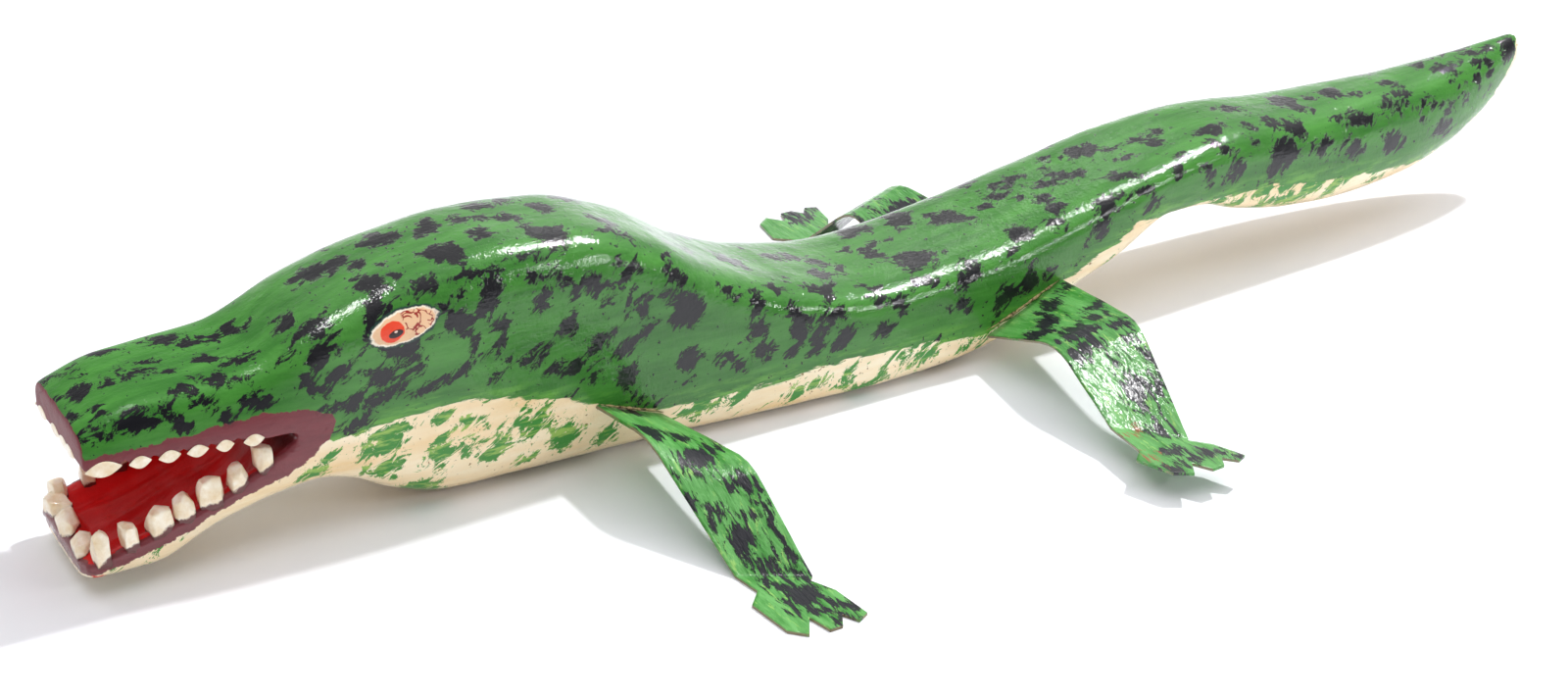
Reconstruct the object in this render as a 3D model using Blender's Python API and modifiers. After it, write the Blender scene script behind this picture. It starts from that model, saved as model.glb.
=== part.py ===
"""A carved and painted wooden alligator with an open mouth, on four bent sheet-metal legs.

The body, its jaws and its teeth are one piece of wood. Each leg is a strip cut from thin
sheet, bent at the knee and the ankle, with three toes, and pushed into a saw kerf in the side.
The snout points along -Y, the tail along +Y, and the carving stands on Z = 0. Metres.
"""

import math

import bmesh
import bpy
from mathutils import Vector

MM = 0.001

# Driving sizes of the body
LENGTH = 744 * MM
HEIGHT = 107 * MM
WIDTH = 78 * MM

# Mouth: a wedge sawn right across the snout, and the hollows gouged in both jaws
MOUTH_DEPTH = 89 * MM
UPPER_JAW_SETBACK = 4.4 * MM
MOUTH_CORNER_HEIGHT = 0.4813 * HEIGHT
UPPER_LIP_HEIGHT = 0.5327 * HEIGHT
LOWER_LIP_HEIGHT = 0.1355 * HEIGHT
LOWER_LIP_SAG = 8 * MM
SLIT_WIDTH = 2 * MM
LIP_THICKNESS = 7.5 * MM
TONGUE_HOLLOW_DEPTH = 4.5 * MM
PALATE_HOLLOW_DEPTH = 5.5 * MM
HOLLOW_LENGTH = 58 * MM
HOLLOW_SQUARENESS = 3.2

# The hollows fade out at both ends, as a half sine wave does between these two shares of it
HOLLOW_FADE = (0.12, 0.98)
HOLLOW_FADE_POWER = 0.35
HOLLOW_END_WIDTH = 0.86

# Teeth: blocks left standing on the lower jaw, notches sawn in the edge of the upper one
TOOTH_WIDTH = 9 * MM
TOOTH_THICKNESS = 6.4 * MM
TOOTH_HEIGHT = 9 * MM
TOOTH_ROOT = 3 * MM
TOOTH_TAPER = 0.78
TOOTH_SETBACK = 1 * MM
SIDE_TEETH = 6
FIRST_SIDE_TOOTH = 19.5 * MM
SIDE_TOOTH_PITCH = 10.8 * MM
FRONT_TEETH = 4
FRONT_TOOTH_PITCH = 15.6 * MM
NOTCH_WIDTH = 4.2 * MM
NOTCH_HEIGHT = 4.4 * MM
NOTCH_POINT_WIDTH = 0.12
NOTCH_MOUTH_WIDTH = 1.3
NOTCH_BELOW = 0.3
NOTCH_REACH = LIP_THICKNESS + 4 * MM
SIDE_NOTCHES = 5
FIRST_NOTCH = 19.4 * MM
NOTCH_PITCH = 11.4 * MM

# Legs: sheet thickness, how far the root goes into the body, and the fit in the saw kerf
SHEET = 1.2 * MM
TAB_DEPTH = 10 * MM
KERF_CLEARANCE = 0.3 * MM
KERF_OUTSIDE = 14 * MM
BEND_RADIUS = 11 * MM

# The body's form: (share of the length from the snout, share of the height, width or squareness)
BACK = [
    (0, 0.654), (0.039, 0.738), (0.093, 0.752), (0.140, 0.879), (0.187, 0.967),
    (0.234, 1), (0.288, 0.972), (0.335, 0.850), (0.373, 0.678), (0.420, 0.533),
    (0.483, 0.449), (0.557, 0.491), (0.617, 0.570), (0.683, 0.659), (0.745, 0.706),
    (0.819, 0.673), (0.883, 0.668), (0.947, 0.696), (1, 0.738),
]
BELLY = [
    (0, 0.060), (0.036, 0.055), (0.075, 0.155), (0.104, 0.200), (0.126, 0.215),
    (0.147, 0.180), (0.172, 0.080), (0.200, 0.011), (0.228, 0), (0.370, 0),
    (0.513, 0), (0.543, 0.022), (0.571, 0.084), (0.608, 0.180), (0.645, 0.275),
    (0.684, 0.400), (0.712, 0.385), (0.745, 0.309), (0.793, 0.232), (0.847, 0.204),
    (0.893, 0.222), (0.931, 0.280), (0.966, 0.400), (0.989, 0.545), (1, 0.690),
]
FLANK = [
    (0, 0.82), (0.10, 0.846), (0.167, 0.91), (0.228, 0.949), (0.288, 0.936),
    (0.349, 0.91), (0.422, 0.962), (0.476, 1), (0.543, 1), (0.604, 0.962),
    (0.651, 0.91), (0.705, 0.833), (0.765, 0.769), (0.826, 0.718), (0.880, 0.638),
    (0.928, 0.510), (0.966, 0.330), (1, 0.05),
]
TOP_SQUARENESS = [(0, 7), (0.34, 6), (0.45, 5), (0.55, 4), (0.63, 3.2), (0.70, 2.7), (1, 2.2)]
BELLY_SQUARENESS = [
    (0, 6), (0.10, 5), (0.21, 3.8), (0.30, 4.5), (0.45, 6), (0.55, 4.5), (0.64, 3.5), (1, 2.2),
]
WIDEST_AT = [(0, 0.5), (0.45, 0.5), (0.58, 0.42), (0.65, 0.36), (0.74, 0.36), (0.85, 0.45), (1, 0.5)]

RINGS = 64
QUARTER_STEPS = 9
NOSE_RADIUS = 7 * MM
NOSE_STEPS = 5
MOUTH_STEPS = 12
HOLLOW_STEPS = 12
HOLLOW_QUARTER_STEPS = 7
SHARP_ANGLE = math.radians(40)

# How far a cutter stands out of the face that it cuts
CUT_CLEARANCE = 1.5 * MM

# One pattern for every foot: (share of its length outwards, share of its width along the body)
FOOT_OUTLINE = [
    (0.20, -0.50), (0.80, -0.43), (0.97, -0.26), (0.70, -0.09), (1, -0.02), (1, 0.14),
    (0.81, 0.25), (1, 0.35), (0.92, 0.50), (0.39, 0.44),
]
FOOT_NECK = [(0, -0.31), (0.10, 0.30)]

# Each leg as it is bent: (out from the centre line, along the body, up) in millimetres for the
# front and the back edge of the strip. side is 1 for the animal's left and -1 for its right.
FRONT_LEG = dict(
    front_edge=[(35.5, -158.5, 30), (75, -155.5, 34), (137, -150.5, 0.6)],
    back_edge=[(35.5, -127.5, 17), (106, -125.5, 29.5), (152, -124.5, 0.6)],
    foot=(151, -137.5, 0.6), foot_length=37, foot_width=35, foot_turn=0,
)
REAR_LEFT_LEG = dict(
    front_edge=[(37, 33.5, 13), (84, 36.5, 29.5), (131, 32.5, 12)],
    back_edge=[(37, 73.5, 31), (102, 66.5, 40.5), (155, 54.5, 12)],
    foot=(153, 42, 12), foot_length=27, foot_width=36, foot_turn=0.24,
)
REAR_RIGHT_LEG = dict(
    front_edge=[(37, 33.5, 13), (82, 36.5, 27), (109, 24.5, 0.6)],
    back_edge=[(37, 73.5, 31), (88, 64.5, 33), (114, 49.5, 0.6)],
    foot=(115, 34.5, 0.6), foot_length=29, foot_width=37, foot_turn=0,
)
LEGS = {
    "leg_front_left": (1, FRONT_LEG),
    "leg_front_right": (-1, FRONT_LEG),
    "leg_rear_left": (1, REAR_LEFT_LEG),
    "leg_rear_right": (-1, REAR_RIGHT_LEG),
}
STRIP_COLUMNS = 6
STRIP_ROWS = 18


def clear_scene():
    for obj in list(bpy.data.objects):
        bpy.data.objects.remove(obj, do_unlink=True)


def new_collection(name):
    collection = bpy.data.collections.new(name)
    bpy.context.scene.collection.children.link(collection)
    return collection


def paint(name, colour, roughness, metallic=0.0):
    material = bpy.data.materials.new(name)
    material.use_nodes = True
    shader = material.node_tree.nodes["Principled BSDF"]
    shader.inputs["Base Color"].default_value = (*colour, 1)
    shader.inputs["Roughness"].default_value = roughness
    shader.inputs["Metallic"].default_value = metallic
    return material


def new_object(name, bm, collection, material=None):
    bmesh.ops.recalc_face_normals(bm, faces=bm.faces)
    mesh = bpy.data.meshes.new(name)
    bm.to_mesh(mesh)
    bm.free()
    obj = bpy.data.objects.new(name, mesh)
    collection.objects.link(obj)
    if material:
        mesh.materials.append(material)
    return obj


def as_cutter(obj):
    obj.hide_render = True
    obj.display_type = "WIRE"
    return obj


def curve_through(points, share):
    """A smooth curve through the points, level at every high and low point."""
    for k in range(len(points) - 1):
        if share <= points[k + 1][0]:
            break
    (x0, y0), (x1, y1) = points[k], points[k + 1]

    def slope(i):
        if i in (0, len(points) - 1):
            return None
        before = (points[i][1] - points[i - 1][1]) / (points[i][0] - points[i - 1][0])
        after = (points[i + 1][1] - points[i][1]) / (points[i + 1][0] - points[i][0])
        return 0 if before * after <= 0 else 2 * before * after / (before + after)

    step = x1 - x0
    chord = (y1 - y0) / step
    start = chord if slope(k) is None else slope(k)
    end = chord if slope(k + 1) is None else slope(k + 1)
    t = (share - x0) / step
    return (
        (2 * t**3 - 3 * t**2 + 1) * y0
        + (t**3 - 2 * t**2 + t) * step * start
        + (3 * t**2 - 2 * t**3) * y1
        + (t**3 - t**2) * step * end
    )


def share_at(y):
    return min(1, max(0, y / LENGTH + 0.5))


def half_width(y):
    """Half the body's width at y, with the corners of the blunt snout rounded off in plan."""
    full = curve_through(FLANK, share_at(y)) * WIDTH / 2
    from_tip = y + LENGTH / 2
    if from_tip >= NOSE_RADIUS:
        return full
    inset = NOSE_RADIUS - max(0, from_tip)
    return full - NOSE_RADIUS + math.sqrt(max(0, NOSE_RADIUS**2 - inset**2))


def back_height(y):
    return curve_through(BACK, share_at(y)) * HEIGHT


def belly_height(y):
    return curve_through(BELLY, share_at(y)) * HEIGHT


def quarter(width, rise, squareness, steps):
    """Points of a quarter of a superellipse, from its crown down to its side."""
    for i in range(steps + 1):
        angle = math.pi / 2 * (1 - i / steps)
        x = width * math.cos(angle) ** (2 / squareness) if i else 0
        z = rise * math.sin(angle) ** (2 / squareness) if i < steps else 0
        yield x, z


def body_section(y):
    """The closed outline at y: a rounded top quarter over a rounded lower quarter, on both sides."""
    share = share_at(y)
    top = back_height(y)
    bottom = belly_height(y)
    waist = bottom + (top - bottom) * curve_through(WIDEST_AT, share)
    wide = half_width(y)
    upper = list(quarter(wide, top - waist, curve_through(TOP_SQUARENESS, share), QUARTER_STEPS))
    lower = list(quarter(wide, waist - bottom, curve_through(BELLY_SQUARENESS, share), QUARTER_STEPS))
    right = [(x, waist + z) for x, z in upper] + [(x, waist - z) for x, z in reversed(lower[:-1])]
    left = [(-x, z) for x, z in reversed(right[1:-1])]
    return [Vector((x, y, z)) for x, z in right + left]


def ring_places():
    nose = [NOSE_RADIUS * (1 - math.cos(math.pi / 2 * i / NOSE_STEPS)) for i in range(NOSE_STEPS)]
    run = LENGTH - NOSE_RADIUS
    rest = [NOSE_RADIUS + run * i / RINGS for i in range(RINGS + 1)]
    return [-LENGTH / 2 + place for place in nose + rest]


def loft(bm, sections):
    """A closed skin over a row of outlines with the same number of points each."""
    rings = [[bm.verts.new(point) for point in section] for section in sections]
    count = len(rings[0])
    for near, far in zip(rings, rings[1:]):
        for i in range(count):
            bm.faces.new((near[i], near[(i + 1) % count], far[(i + 1) % count], far[i]))
    bm.faces.new(rings[0])
    bm.faces.new(rings[-1])


def upper_lip(y):
    """Height of the upper jaw's lower edge."""
    depth = (y + LENGTH / 2) / MOUTH_DEPTH
    return UPPER_LIP_HEIGHT + (MOUTH_CORNER_HEIGHT - UPPER_LIP_HEIGHT) * depth


def lower_lip(y):
    """Height of the lower jaw's rim, which sags a little between the tip and the mouth's corner."""
    depth = (y + LENGTH / 2) / MOUTH_DEPTH
    line = LOWER_LIP_HEIGHT + (MOUTH_CORNER_HEIGHT - SLIT_WIDTH - LOWER_LIP_HEIGHT) * depth
    return line - LOWER_LIP_SAG * math.sin(math.pi * max(0, depth)) * max(0, depth)


def mouth_wedge(collection):
    """The open mouth, cut right across, with the upper jaw squared off behind the lower jaw's tip."""
    tip = -LENGTH / 2
    upper_tip = tip + UPPER_JAW_SETBACK
    before = tip - UPPER_JAW_SETBACK
    corner = tip + MOUTH_DEPTH
    outline = []
    for i in range(MOUTH_STEPS + 1):
        y = before + (corner - before) * i / MOUTH_STEPS
        outline.append((y, lower_lip(y)))
    outline += [(corner, upper_lip(corner)), (upper_tip, upper_lip(upper_tip))]
    outline += [(upper_tip, HEIGHT), (before, HEIGHT)]
    bm = bmesh.new()
    loft(bm, [[Vector((x, y, z)) for y, z in outline] for x in (-WIDTH, WIDTH)])
    return as_cutter(new_object("mouth_wedge", bm, collection))


def hollow(name, collection, lip, depth, side):
    """The gouged trough inside a jaw: side is -1 below the lower lip and 1 above the upper one."""
    tip = -LENGTH / 2
    clear = -side * CUT_CLEARANCE
    first, last = HOLLOW_FADE
    sections = []
    for i in range(HOLLOW_STEPS + 1):
        share = i / HOLLOW_STEPS
        y = tip + LIP_THICKNESS + HOLLOW_LENGTH * share
        fade = math.sin(math.pi * (first + (last - first) * share)) ** HOLLOW_FADE_POWER
        narrowed = HOLLOW_END_WIDTH + (1 - HOLLOW_END_WIDTH) * fade
        wide = (half_width(max(y, tip + NOSE_RADIUS)) - LIP_THICKNESS) * narrowed
        trough = list(quarter(wide, depth * fade, HOLLOW_SQUARENESS, HOLLOW_QUARTER_STEPS))
        outline = [(x, z * side) for x, z in trough[:-1]]
        both = [(-x, z) for x, z in reversed(outline)] + outline[1:]
        ring = [Vector((x, y, lip(y) + z)) for x, z in both]
        ring += [Vector((wide, y, lip(y) + clear)), Vector((-wide, y, lip(y) + clear))]
        sections.append(ring)
    bm = bmesh.new()
    loft(bm, sections)
    return as_cutter(new_object(name, bm, collection))


def tooth(bm, x, y, z, across, along):
    """A tapered block standing at (x, y) on the lower lip, rooted in it."""
    made = bmesh.ops.create_cube(bm, size=1)
    for vert in made["verts"]:
        taper = TOOTH_TAPER if vert.co.z > 0 else 1
        height = TOOTH_HEIGHT if vert.co.z > 0 else -TOOTH_ROOT
        vert.co = Vector((x + vert.co.x * across * taper, y + vert.co.y * along * taper, z + height))


def lower_teeth(collection):
    bm = bmesh.new()
    tip = -LENGTH / 2
    inset = TOOTH_SETBACK + TOOTH_THICKNESS / 2
    for side in (-1, 1):
        for i in range(SIDE_TEETH):
            y = tip + FIRST_SIDE_TOOTH + SIDE_TOOTH_PITCH * i
            x = side * (half_width(y) - inset)
            tooth(bm, x, y, lower_lip(y), TOOTH_THICKNESS, TOOTH_WIDTH)
    for i in range(FRONT_TEETH):
        x = FRONT_TOOTH_PITCH * (i - (FRONT_TEETH - 1) / 2)
        y = tip + inset
        tooth(bm, x, y, lower_lip(y), TOOTH_WIDTH, TOOTH_THICKNESS)
    return as_cutter(new_object("lower_teeth", bm, collection))


def notch(bm, centre, across, along_y):
    """A V-shaped saw cut in the upper lip, with its point up; along_y is its own direction."""
    made = bmesh.ops.create_cube(bm, size=1)
    for vert in made["verts"]:
        up = vert.co.z > 0
        opening = NOTCH_WIDTH * (NOTCH_POINT_WIDTH if up else NOTCH_MOUTH_WIDTH)
        height = NOTCH_HEIGHT * (1 if up else -NOTCH_BELOW)
        if along_y:
            vert.co = centre + Vector((vert.co.x * opening, vert.co.y * across, height))
        else:
            vert.co = centre + Vector((vert.co.x * across, vert.co.y * opening, height))


def upper_notches(collection):
    bm = bmesh.new()
    tip = -LENGTH / 2
    length = NOTCH_REACH + CUT_CLEARANCE
    for side in (-1, 1):
        for i in range(SIDE_NOTCHES):
            y = tip + FIRST_NOTCH + NOTCH_PITCH * i
            x = side * (half_width(y) + CUT_CLEARANCE - length / 2)
            notch(bm, Vector((x, y, upper_lip(y))), length, False)
    for i in range(FRONT_TEETH - 1):
        x = FRONT_TOOTH_PITCH * (i - (FRONT_TEETH - 2) / 2)
        y = tip + UPPER_JAW_SETBACK - CUT_CLEARANCE + length / 2
        notch(bm, Vector((x, y, upper_lip(y))), length, True)
    return as_cutter(new_object("upper_notches", bm, collection))


def bent_edge(root, knee, ankle, share):
    """A point on a strip's edge: straight to the knee, round it, and straight down to the ankle."""
    first = (knee - root).length
    second = (ankle - knee).length
    along = share * (first + second)
    reach = min(BEND_RADIUS, first / 2, second / 2)
    if along < first - reach:
        return root.lerp(knee, along / first)
    if along > first + reach:
        return knee.lerp(ankle, (along - first) / second)
    t = (along - first + reach) / (2 * reach)
    start = knee.lerp(root, reach / first)
    end = knee.lerp(ankle, reach / second)
    return start.lerp(knee, t).lerp(knee.lerp(end, t), t)


def placed(point, side):
    x, y, z = point
    return Vector((side * x, y, z)) * MM


def strip_edges(side, leg):
    return [[placed(point, side) for point in leg[edge]] for edge in ("front_edge", "back_edge")]


def across(front, back, columns):
    return [front.lerp(back, i / columns) for i in range(columns + 1)]


def grid(bm, rows):
    made = [[bm.verts.new(point) for point in row] for row in rows]
    for near, far in zip(made, made[1:]):
        for i in range(len(near) - 1):
            bm.faces.new((near[i], near[i + 1], far[i + 1], far[i]))
    return made


def solidified(obj, thickness):
    modifier = obj.modifiers.new("sheet", "SOLIDIFY")
    modifier.thickness = thickness
    modifier.offset = 0
    modifier.use_even_offset = True
    return obj


def leg_strip(name, side, leg, collection, material):
    edges = strip_edges(side, leg)
    tab = [root + (root - knee).normalized() * TAB_DEPTH for root, knee, ankle in edges]
    rows = [across(*tab, STRIP_COLUMNS)]
    for i in range(STRIP_ROWS + 1):
        front, back = (bent_edge(*edge, i / STRIP_ROWS) for edge in edges)
        rows.append(across(front, back, STRIP_COLUMNS))
    foot = Vector(leg["foot"])

    def on_foot(point):
        out, along = point
        reach = out * leg["foot_length"]
        offset = Vector((reach, along * leg["foot_width"] + reach * leg["foot_turn"], 0))
        return placed(foot + offset, side)

    rows.append(across(*(on_foot(point) for point in FOOT_NECK), STRIP_COLUMNS))
    bm = bmesh.new()
    neck = grid(bm, rows)[-1]
    outline = [bm.verts.new(on_foot(point)) for point in FOOT_OUTLINE]
    bm.faces.new(neck[::-1] + outline)
    return solidified(new_object(name, bm, collection, material), SHEET)


def kerf(name, side, leg, collection):
    """The saw cut that a leg's root sits in: the root strip, a clearance larger all round."""
    edges = strip_edges(side, leg)
    rows = []
    for reach in (-TAB_DEPTH - KERF_CLEARANCE, 0, KERF_OUTSIDE):
        front, back = (root + (knee - root).normalized() * reach for root, knee, ankle in edges)
        margin = (back - front).normalized() * KERF_CLEARANCE
        rows.append(across(front - margin, back + margin, STRIP_COLUMNS))
    bm = bmesh.new()
    grid(bm, rows)
    obj = solidified(new_object(name, bm, collection), SHEET + 2 * KERF_CLEARANCE)
    return as_cutter(obj)


def boolean(obj, operation, other):
    modifier = obj.modifiers.new(other.name, "BOOLEAN")
    modifier.operation = operation
    modifier.object = other
    modifier.solver = "EXACT"


def carved_body(collection, cutters, material):
    bm = bmesh.new()
    loft(bm, [body_section(y) for y in ring_places()])
    body = new_object("body", bm, collection, material)
    boolean(body, "DIFFERENCE", mouth_wedge(cutters))
    boolean(body, "DIFFERENCE", hollow("tongue_hollow", cutters, lower_lip, TONGUE_HOLLOW_DEPTH, -1))
    boolean(body, "DIFFERENCE", hollow("palate_hollow", cutters, upper_lip, PALATE_HOLLOW_DEPTH, 1))
    boolean(body, "DIFFERENCE", upper_notches(cutters))
    boolean(body, "UNION", lower_teeth(cutters))
    for name, (side, leg) in LEGS.items():
        boolean(body, "DIFFERENCE", kerf(name.replace("leg", "kerf"), side, leg, cutters))
    body.data.shade_smooth()
    body.data.set_sharp_from_angle(angle=SHARP_ANGLE)
    return body


def main():
    clear_scene()
    parts = new_collection("wooden_alligator")
    cutters = new_collection("cutters")
    wood = paint("painted_wood", (0.05, 0.28, 0.03), 0.3)
    sheet = paint("painted_sheet_metal", (0.12, 0.42, 0.10), 0.35, metallic=0.2)
    carved_body(parts, cutters, wood)
    for name, (side, leg) in LEGS.items():
        leg_strip(name, side, leg, parts, sheet)


main()
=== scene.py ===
# A carved alligator in glossy brush paint on four bent tin legs, dressed over its CAD parts.
# Row frame: snout along -Y, tail along +Y, the animal's left side along +X, floor at Z = 0, metres.

import math
import random

import bmesh
import bpy
import numpy as np
from mathutils import Matrix, Vector, noise
from mathutils.bvhtree import BVHTree


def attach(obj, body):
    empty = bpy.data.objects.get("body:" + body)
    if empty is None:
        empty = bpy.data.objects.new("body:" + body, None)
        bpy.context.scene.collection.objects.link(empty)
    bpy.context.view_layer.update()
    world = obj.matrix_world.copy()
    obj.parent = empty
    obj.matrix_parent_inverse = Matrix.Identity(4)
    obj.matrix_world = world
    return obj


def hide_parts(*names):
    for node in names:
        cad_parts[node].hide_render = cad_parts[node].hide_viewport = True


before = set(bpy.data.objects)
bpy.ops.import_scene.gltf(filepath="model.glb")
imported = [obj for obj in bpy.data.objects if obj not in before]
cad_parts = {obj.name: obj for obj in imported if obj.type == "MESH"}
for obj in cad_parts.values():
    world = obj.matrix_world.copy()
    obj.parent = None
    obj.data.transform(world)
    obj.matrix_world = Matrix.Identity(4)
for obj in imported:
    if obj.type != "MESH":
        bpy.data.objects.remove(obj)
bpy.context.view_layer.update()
mm = 0.001
noise.seed_set(1)  # with no seed set, noise_vector takes its offsets from the clock


def srgb(hexCode):
    # sRGB hex to the linear colour that the shaders work in
    values = [int(hexCode[i:i + 2], 16) / 255 for i in (1, 3, 5)]
    linear = [v / 12.92 if v <= 0.04045 else ((v + 0.055) / 1.055) ** 2.4 for v in values]
    return (*linear, 1)


def wire(tree, node, inputs):
    # a socket is linked in, any other value is set on the input itself
    for key, value in inputs.items():
        if isinstance(value, bpy.types.NodeSocket):
            tree.links.new(value, node.inputs[key])
        else:
            node.inputs[key].default_value = value


def add(tree, kind, inputs=None, out=0, stops=(), **settings):
    # one node with its settings, a ramp's stops and its links; gives back the output asked for
    node = tree.nodes.new("ShaderNode" + kind)
    for key, value in settings.items():
        setattr(node, key, value)
    for index, (position, hue) in enumerate(stops):
        stop = node.color_ramp.elements[index]
        stop.position, stop.color = position, srgb(hue)
    wire(tree, node, inputs or {})
    return node.outputs[out]


def addRows(tree, kind, keys, rows):
    # a node for every row of input values, given back by name
    return {name: add(tree, kind, dict(zip(keys, values))) for name, values in rows.items()}


noiseKeys = ("Vector", "Scale", "Detail", "Roughness", "Distortion")
rangeKeys = ("Value", "From Min", "From Max", "To Min", "To Max")
asColour = {"out": 2, "data_type": "RGBA"}  # makes a Mix node mix colours


def tornMask(tree, field, tear, start, full):
    # a field stored on the mesh, in mm, cut off sharply along an edge that a noise has torn
    stored = add(tree, "Attribute", attribute_name=field, out="Fac")
    torn = add(tree, "Math", {0: stored, 1: tear}, operation="ADD")
    return add(tree, "MapRange", {"Value": torn, "From Min": start, "From Max": full})


def newMaterial(name):
    material = bpy.data.materials.new(name)
    material.use_nodes = True
    return material, material.node_tree, material.node_tree.nodes["Principled BSDF"]


def newPaint(name):
    # a material with the piece's own coordinates in mm, which its patterns are measured in
    material, tree, shader = newMaterial(name)
    place = add(tree, "TexCoord", out="Object")
    inMm = add(tree, "VectorMath", {0: place, 1: (1 / mm,) * 3}, operation="MULTIPLY")
    return material, tree, shader, inMm


def newObject(name, data):
    made = bpy.data.objects.new(name, data)
    bpy.context.scene.collection.objects.link(made)
    return made


def newPiece(name, mesh, material):
    piece = newObject(name, mesh)
    mesh.materials.clear()
    mesh.materials.append(material)
    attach(piece, "root")
    return piece


def through(points, x):
    # a smooth curve through the points, level at every high and low point
    k = 0
    while k < len(points) - 2 and x > points[k + 1][0]:
        k += 1

    def slope(i):
        if i in (0, len(points) - 1):
            return None
        before = (points[i][1] - points[i - 1][1]) / (points[i][0] - points[i - 1][0])
        after = (points[i + 1][1] - points[i][1]) / (points[i + 1][0] - points[i][0])
        return 0 if before * after <= 0 else 2 * before * after / (before + after)

    (x0, y0), (x1, y1) = points[k], points[k + 1]
    step = x1 - x0
    chord = (y1 - y0) / step
    start = chord if slope(k) is None else slope(k)
    end = chord if slope(k + 1) is None else slope(k + 1)
    t = min(1, max(0, (x - x0) / step))
    return (
        (2 * t**3 - 3 * t**2 + 1) * y0 + (t**3 - 2 * t**2 + t) * step * start
        + (3 * t**2 - 2 * t**3) * y1 + (t**3 - t**2) * step * end
    )


def along(points, x):
    # straight lines through the points, for whole arrays
    xs, ys = zip(*points)
    return np.interp(x, xs, ys)


# The carved body: the same outlines as the CAD part, smooth, as shares of its length and height
body = {
    "length": 744, "height": 107, "width": 78, "noseRadius": 7, "noseRings": 8,  # mm
    "back": [
        (0, 0.654), (0.039, 0.738), (0.093, 0.752), (0.140, 0.879), (0.187, 0.967),
        (0.234, 1), (0.288, 0.972), (0.335, 0.850), (0.373, 0.678), (0.420, 0.533),
        (0.483, 0.449), (0.557, 0.491), (0.617, 0.570), (0.683, 0.659), (0.745, 0.706),
        (0.819, 0.673), (0.883, 0.668), (0.947, 0.696), (1, 0.738),
    ],
    "belly": [
        (0, 0.060), (0.036, 0.055), (0.075, 0.155), (0.104, 0.200), (0.126, 0.215),
        (0.147, 0.180), (0.172, 0.080), (0.200, 0.011), (0.228, 0), (0.370, 0),
        (0.513, 0), (0.543, 0.022), (0.571, 0.084), (0.608, 0.180), (0.645, 0.275),
        (0.684, 0.400), (0.712, 0.385), (0.745, 0.309), (0.793, 0.232), (0.847, 0.204),
        (0.893, 0.222), (0.931, 0.280), (0.966, 0.385), (0.989, 0.500), (1, 0.600),
    ],
    "flank": [
        (0, 0.82), (0.10, 0.846), (0.167, 0.91), (0.228, 0.949), (0.288, 0.936),
        (0.349, 0.91), (0.422, 0.962), (0.476, 1), (0.543, 1), (0.604, 0.962),
        (0.651, 0.91), (0.705, 0.833), (0.765, 0.769), (0.826, 0.718), (0.880, 0.638),
        (0.928, 0.510), (0.966, 0.350), (1, 0.14),
    ],
    "topSquareness": [
        (0, 6), (0.12, 5.4), (0.20, 4.4), (0.30, 4.4), (0.45, 4.6), (0.55, 4.8), (0.63, 4.6),
        (0.70, 4.2), (0.80, 3.2), (1, 2.2),
    ],
    "bellySquareness": [
        (0, 6), (0.10, 5), (0.21, 3.8), (0.30, 4.5), (0.45, 6), (0.55, 4.5), (0.64, 3.5), (1, 2.2),
    ],
    "widestAt": [
        (0, 0.5), (0.45, 0.5), (0.58, 0.42), (0.65, 0.36), (0.74, 0.36), (0.85, 0.45), (1, 0.5),
    ],
    "ringStep": 2, "quarterSteps": 24, "voxel": 1.5, "smoothing": 5,
    "unevenness": 0.35, "unevenLength": 45,  # how far the sanded wood strays, over what distance
}
tip = -body["length"] / 2

mouth = {
    "depth": 89, "setback": 4.4, "cornerHeight": 51.5, "upperLip": 57, "lowerLip": 14.5,
    "sag": 8, "slit": 2, "rim": 7.5, "tongueDepth": 5, "palateDepth": 5.5, "hollowLength": 62,
    "gougeWidth": 12, "gougeDepth": 0.55, "notchDepth": 3, "notchHalf": 2.3,
    "lipSteps": 24, "sawHalf": 60,
    "rimFade": (-2, 5), "cornerFade": 4,  # where the hollow starts inside the rim, and ends
    "level": 0.4, "slack": 1.5,  # how level a face of the floor or roof is, how near the lips
}
corner = tip + mouth["depth"]


def share(y):
    return min(1, max(0, y / body["length"] + 0.5))


def halfWidth(y):
    full = through(body["flank"], share(y)) * body["width"] / 2
    radius = body["noseRadius"]
    if y - tip >= radius:
        return full
    inset = radius - max(0, y - tip)
    return full - radius + math.sqrt(max(0, radius**2 - inset**2))


def backHeight(y):
    return through(body["back"], share(y)) * body["height"]


def bellyHeight(y):
    return through(body["belly"], share(y)) * body["height"]


def upperLip(y):
    return mouth["upperLip"] + (mouth["cornerHeight"] - mouth["upperLip"]) * (y - tip) / mouth["depth"]


def lowerLip(y):
    depth = (y - tip) / mouth["depth"]
    line = mouth["lowerLip"] + (mouth["cornerHeight"] - mouth["slit"] - mouth["lowerLip"]) * depth
    return line - mouth["sag"] * np.sin(math.pi * np.maximum(0, depth)) * np.maximum(0, depth)


def quarterOutline(wide, rise, squareness):
    steps = body["quarterSteps"]
    for i in range(steps + 1):
        angle = math.pi / 2 * (1 - i / steps)
        x = wide * math.cos(angle) ** (2 / squareness) if i else 0
        z = rise * math.sin(angle) ** (2 / squareness) if i < steps else 0
        yield x, z


def bodySection(y):
    top, bottom = backHeight(y), bellyHeight(y)
    waist = bottom + (top - bottom) * through(body["widestAt"], share(y))
    wide = halfWidth(y)
    upper = list(quarterOutline(wide, top - waist, through(body["topSquareness"], share(y))))
    lower = list(quarterOutline(wide, waist - bottom, through(body["bellySquareness"], share(y))))
    near = [(x, waist + z) for x, z in upper] + [(x, waist - z) for x, z in reversed(lower[:-1])]
    far = [(-x, z) for x, z in reversed(near[1:-1])]
    return [Vector((x, y, z)) * mm for x, z in near + far]


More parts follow.
